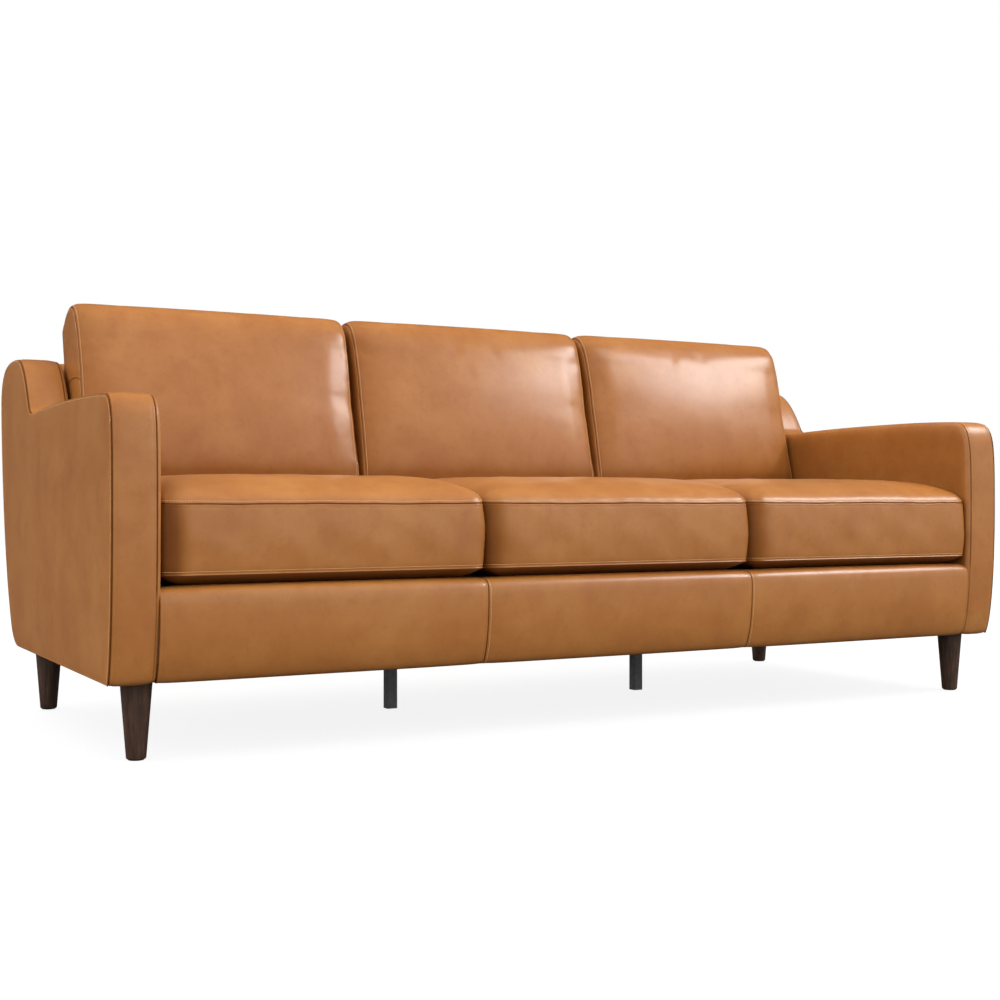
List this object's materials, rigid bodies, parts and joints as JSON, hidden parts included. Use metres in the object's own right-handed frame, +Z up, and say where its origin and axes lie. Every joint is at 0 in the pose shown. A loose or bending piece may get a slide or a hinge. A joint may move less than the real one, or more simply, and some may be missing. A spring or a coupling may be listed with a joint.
{
  "type": "sofa with wooden legs",
  "caption": "Upholstered leather sofa with loose seat and back cushions, slim arms that sweep up into wings, tapered wooden legs and centre support posts.",
  "frame": {"origin": "middle of the footprint, on the floor that the legs stand on", "axes": "+X along the sofa towards the right arm as seen from the front, -Y towards the front, +Z up"},
  "size_m": [2.07, 0.986, 0.8713],
  "materials": {
    "leather": "semi-gloss, mottled tan",
    "dark_wood": "satin, dark walnut stain",
    "black_metal": "satin powder coat",
    "timber": "sawn, raw",
    "plywood": "raw",
    "foam": "matt open-cell foam",
    "fibre_fill": "matt fibre",
    "lining_cloth": "matt woven",
    "webbing": "matt elastic weave",
    "steel": "zinc plated"
  },
  "bodies": {
    "frame": {"front_rail": "timber", "rear_rail": "timber", "stretcher_left": "timber", "stretcher_right": "timber", "leg_blocks": "timber", "arm_board_left": "plywood", "arm_board_right": "plywood", "front_post_left": "timber", "front_post_right": "timber", "arm_top_rail_left": "timber", "arm_top_rail_right": "timber", "wing_post_left": "timber", "wing_post_right": "timber", "back_top_rail": "timber", "back_tack_rail": "timber", "back_upright_left": "timber", "back_upright_right": "timber", "seat_springs": "steel", "spring_clips": "steel", "tie_wires": "steel", "back_webbing": "webbing", "deck_pad": "foam", "deck_cloth": "lining_cloth", "front_padding": "foam", "front_panel_left": "leather", "front_panel_middle": "leather", "front_panel_right": "leather", "arm_padding_left": "foam", "arm_padding_right": "foam", "arm_outer_panel_left": "leather", "arm_outer_panel_right": "leather", "arm_inner_panel_left": "leather", "arm_inner_panel_right": "leather", "arm_band_left": "leather", "arm_band_right": "leather", "back_padding": "foam", "inside_back_panel": "leather", "outside_back_panel": "leather", "dust_cover": "lining_cloth", "leg_front_left": "dark_wood", "leg_front_right": "dark_wood", "leg_rear_left": "dark_wood", "leg_rear_right": "dark_wood", "leg_bolts": "steel", "leg_plates": "steel", "frame_screws": "steel", "centre_post_left": "black_metal", "centre_post_right": "black_metal"},
    "seat_cushion_left": {"seat_cover_left": "leather", "seat_foam_left": "foam"},
    "back_cushion_left": {"back_cover_left": "leather", "back_fill_left": "fibre_fill"},
    "seat_cushion_middle": {"seat_cover_middle": "leather", "seat_foam_middle": "foam"},
    "back_cushion_middle": {"back_cover_middle": "leather", "back_fill_middle": "fibre_fill"},
    "seat_cushion_right": {"seat_cover_right": "leather", "seat_foam_right": "foam"},
    "back_cushion_right": {"back_cover_right": "leather", "back_fill_right": "fibre_fill"}
  },
  "joints": [
    {"name": "seat_cushion_left_slide", "type": "slide", "parent": "frame", "child": "seat_cushion_left", "axis": [0, -1, 0], "range_m": [0, 0.72]},
    {"name": "seat_cushion_middle_slide", "type": "slide", "parent": "frame", "child": "seat_cushion_middle", "axis": [0, -1, 0], "range_m": [0, 0.72]},
    {"name": "seat_cushion_right_slide", "type": "slide", "parent": "frame", "child": "seat_cushion_right", "axis": [0, -1, 0], "range_m": [0, 0.72]},
    {"name": "back_cushion_left_lift", "type": "slide", "parent": "frame", "child": "back_cushion_left", "axis": [0, 0.2334, 0.9724], "range_m": [0, 0.46]},
    {"name": "back_cushion_middle_lift", "type": "slide", "parent": "frame", "child": "back_cushion_middle", "axis": [0, 0.2334, 0.9724], "range_m": [0, 0.46]},
    {"name": "back_cushion_right_lift", "type": "slide", "parent": "frame", "child": "back_cushion_right", "axis": [0, 0.2334, 0.9724], "range_m": [0, 0.46]}
  ]
}
